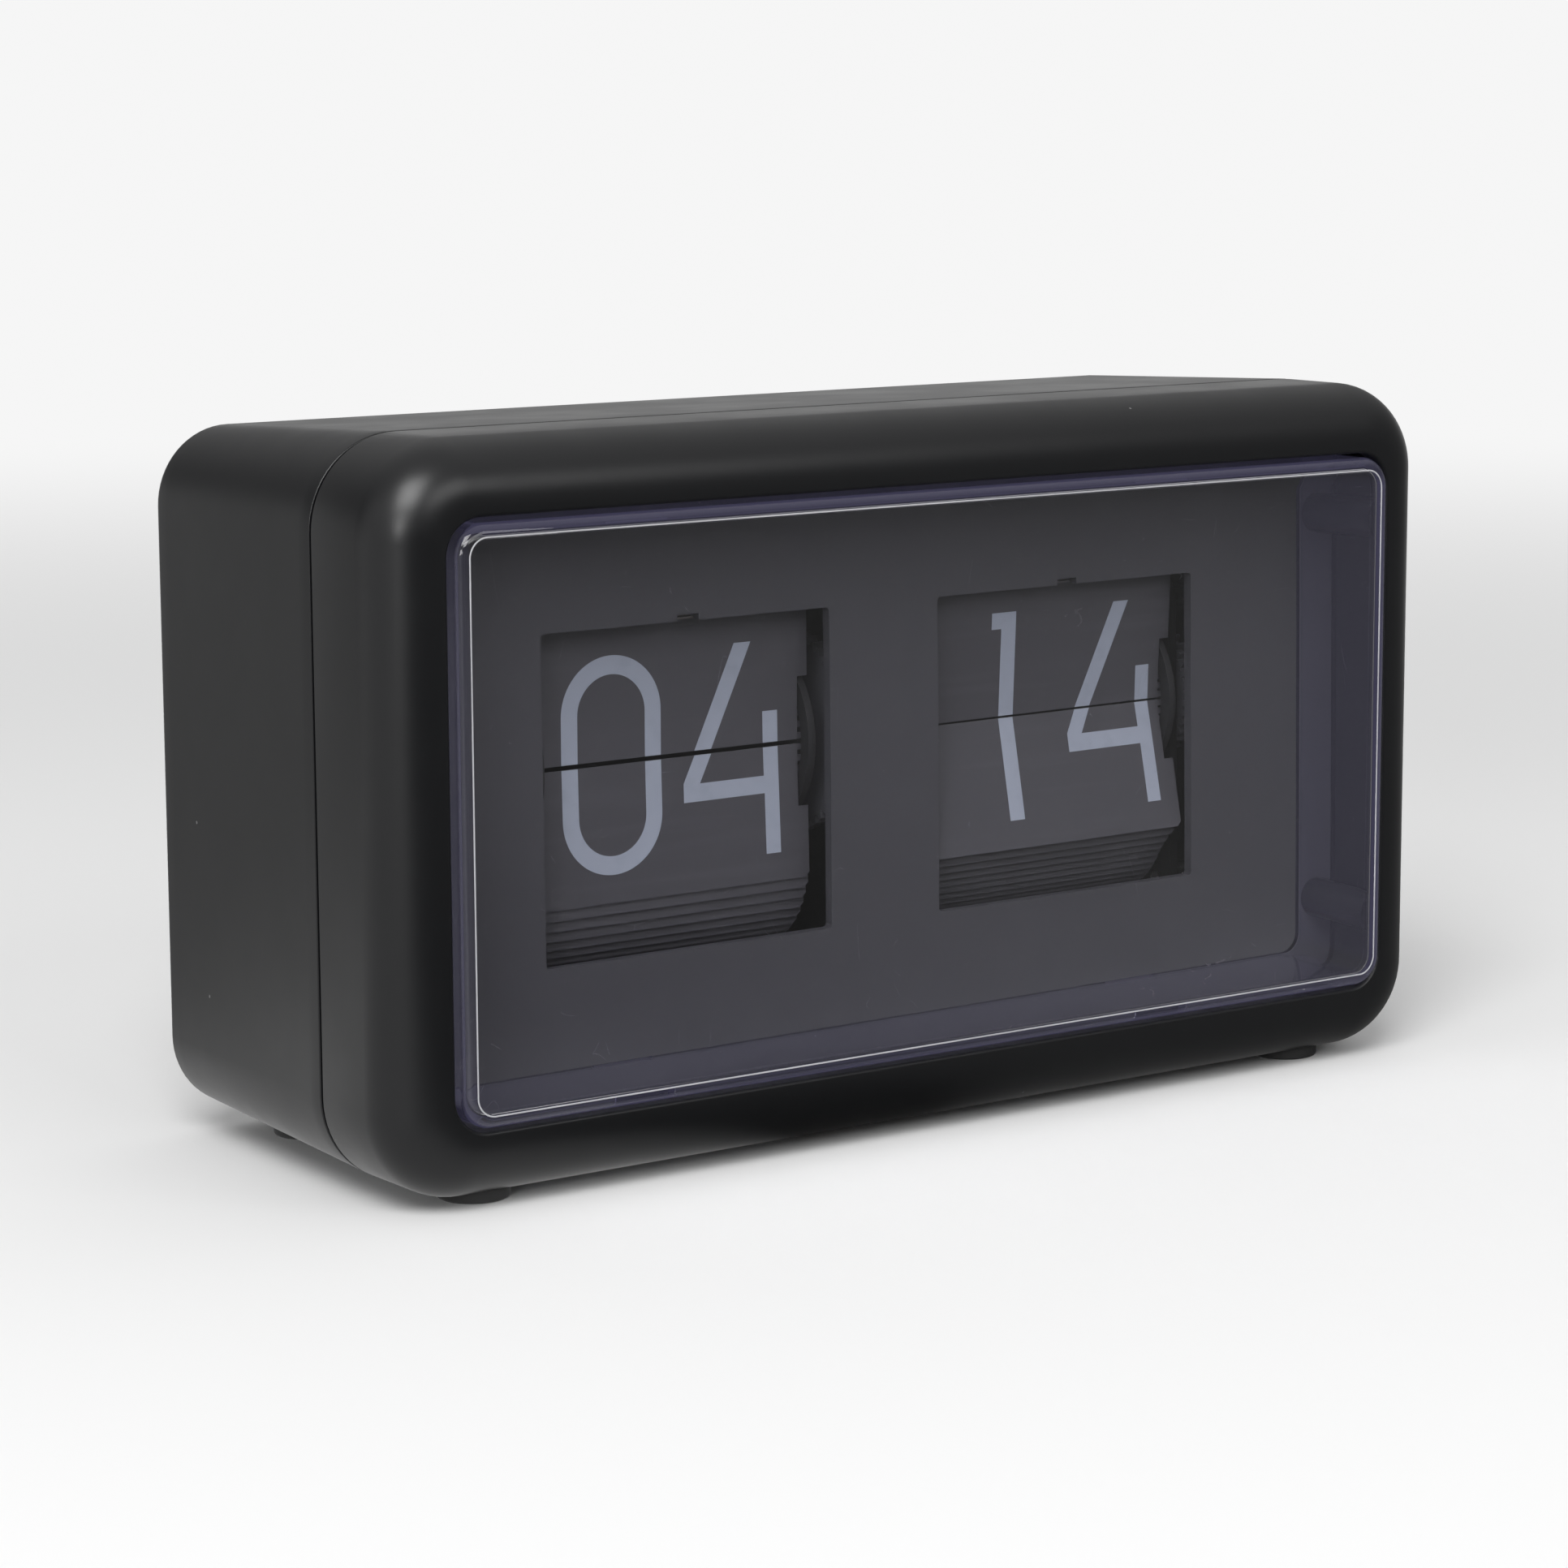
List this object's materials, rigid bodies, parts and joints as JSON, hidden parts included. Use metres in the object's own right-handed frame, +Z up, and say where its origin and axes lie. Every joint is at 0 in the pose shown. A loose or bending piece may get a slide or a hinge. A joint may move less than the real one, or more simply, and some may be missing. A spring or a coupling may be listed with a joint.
{
  "type": "flip number clock",
  "caption": "Table clock with hour and minute drums of split number leaves behind a clear front lens, in a rounded black plastic case.",
  "frame": {"origin": "on the table, under the middle of the bounding box", "axes": "+Z up, -Y out of the clock's front, +X to the right of a person facing the front"},
  "size_m": [0.18, 0.069, 0.1015],
  "materials": {
    "case_plastic": "fine satin moulded texture, black",
    "clear_plastic": "clear, polished, faint violet edges",
    "panel_plastic": "satin dark grey",
    "leaf_plastic": "matt dark grey sheet, printed numerals",
    "rubber": "matt black",
    "plated_steel": "zinc plated sheet",
    "screw_steel": "zinc plated",
    "bright_steel": "ground rod",
    "spring_steel": "nickel plated",
    "gear_acetal": "charcoal acetal",
    "black_acetal": "black moulded",
    "motor_can": "drawn can",
    "cell_wrap": "plain printed sleeve",
    "board_laminate": "solder mask",
    "component_black": "moulded"
  },
  "bodies": {
    "case": {"front_bezel": "case_plastic", "back_shell": "case_plastic", "lens": "clear_plastic", "dial_panel": "panel_plastic", "front_feet": "rubber", "rear_feet": "rubber", "case_screws": "screw_steel", "hour_holding_finger": "spring_steel", "minute_holding_finger": "spring_steel", "movement_base": "plated_steel", "base_screws": "screw_steel", "left_side_plate": "plated_steel", "centre_plate": "plated_steel", "right_side_plate": "plated_steel", "outer_plate": "plated_steel", "plate_pillars": "bright_steel", "pillar_screws": "screw_steel", "spindle": "bright_steel", "spindle_clips": "spring_steel", "idler_shaft": "bright_steel", "drive_motor": "motor_can", "motor_screws": "screw_steel", "hour_trailing_leaves": "leaf_plastic", "hour_hanging_leaves": "leaf_plastic", "minute_trailing_leaves": "leaf_plastic", "minute_hanging_leaves": "leaf_plastic", "battery": "cell_wrap", "battery_cradle": "black_acetal", "negative_spring": "spring_steel", "positive_contact": "spring_steel", "circuit_board": "board_laminate", "board_components": "component_black"},
    "minute_drum": {"minute_drum_hub": "black_acetal", "minute_left_disc": "black_acetal", "minute_right_disc": "black_acetal", "minute_carry_gear": "gear_acetal", "minute_drive_gear": "gear_acetal"},
    "hour_drum": {"hour_drum_hub": "black_acetal", "hour_left_disc": "black_acetal", "hour_right_disc": "black_acetal", "hour_gear": "gear_acetal"},
    "carry": {"carry_wheel": "gear_acetal", "carry_pinion": "gear_acetal", "carry_shaft": "bright_steel"},
    "idler": {"idler_gear": "gear_acetal"},
    "setting": {"setting_gear": "gear_acetal", "setting_shaft": "bright_steel", "setting_wheel": "black_acetal"},
    "motor_rotor": {"motor_shaft": "bright_steel", "motor_pinion": "gear_acetal"},
    "minute_flip": {"minute_flip_leaf": "leaf_plastic"},
    "hour_flip": {"hour_flip_leaf": "leaf_plastic"},
    "door": {"battery_door": "case_plastic"}
  },
  "joints": [
    {"name": "minute_drum_spin", "type": "hinge", "parent": "case", "child": "minute_drum", "pos_m": [0, 0.0013, 0.0546], "axis": [1, 0, 0], "continuous": true},
    {"name": "hour_drum_spin", "type": "hinge", "parent": "case", "child": "hour_drum", "pos_m": [0, 0.0013, 0.0546], "axis": [1, 0, 0], "continuous": true},
    {"name": "carry_spin", "type": "hinge", "parent": "case", "child": "carry", "pos_m": [0, 0.01367, 0.04223], "axis": [1, 0, 0], "continuous": true},
    {"name": "idler_spin", "type": "hinge", "parent": "case", "child": "idler", "pos_m": [0, 0.01836, 0.06297], "axis": [1, 0, 0], "continuous": true},
    {"name": "setting_wheel_spin", "type": "hinge", "parent": "case", "child": "setting", "pos_m": [0, 0.0255, 0.0546], "axis": [1, 0, 0], "continuous": true},
    {"name": "motor_spin", "type": "hinge", "parent": "case", "child": "motor_rotor", "pos_m": [0, 0.0013, 0.0396], "axis": [1, 0, 0], "continuous": true},
    {"name": "minute_leaf_flip", "type": "hinge", "parent": "case", "child": "minute_flip", "pos_m": [0.0336, -0.01118, 0.05525], "axis": [1, 0, 0], "range_deg": [0, 162]},
    {"name": "hour_leaf_flip", "type": "hinge", "parent": "case", "child": "hour_flip", "pos_m": [-0.0336, -0.01117, 0.05542], "axis": [1, 0, 0], "range_deg": [0, 167]},
    {"name": "battery_door_slide", "type": "slide", "parent": "case", "child": "door", "axis": [0, 1, 0], "range_m": [0, 0.02]}
  ],
  "couplings": [
    {"joint": "hour_drum_spin", "follows": "minute_drum_spin", "ratio": 0.041667},
    {"joint": "carry_spin", "follows": "minute_drum_spin", "ratio": -0.25},
    {"joint": "idler_spin", "follows": "minute_drum_spin", "ratio": -1.7143},
    {"joint": "setting_wheel_spin", "follows": "minute_drum_spin", "ratio": 3},
    {"joint": "motor_spin", "follows": "minute_drum_spin", "ratio": -4}
  ]
}
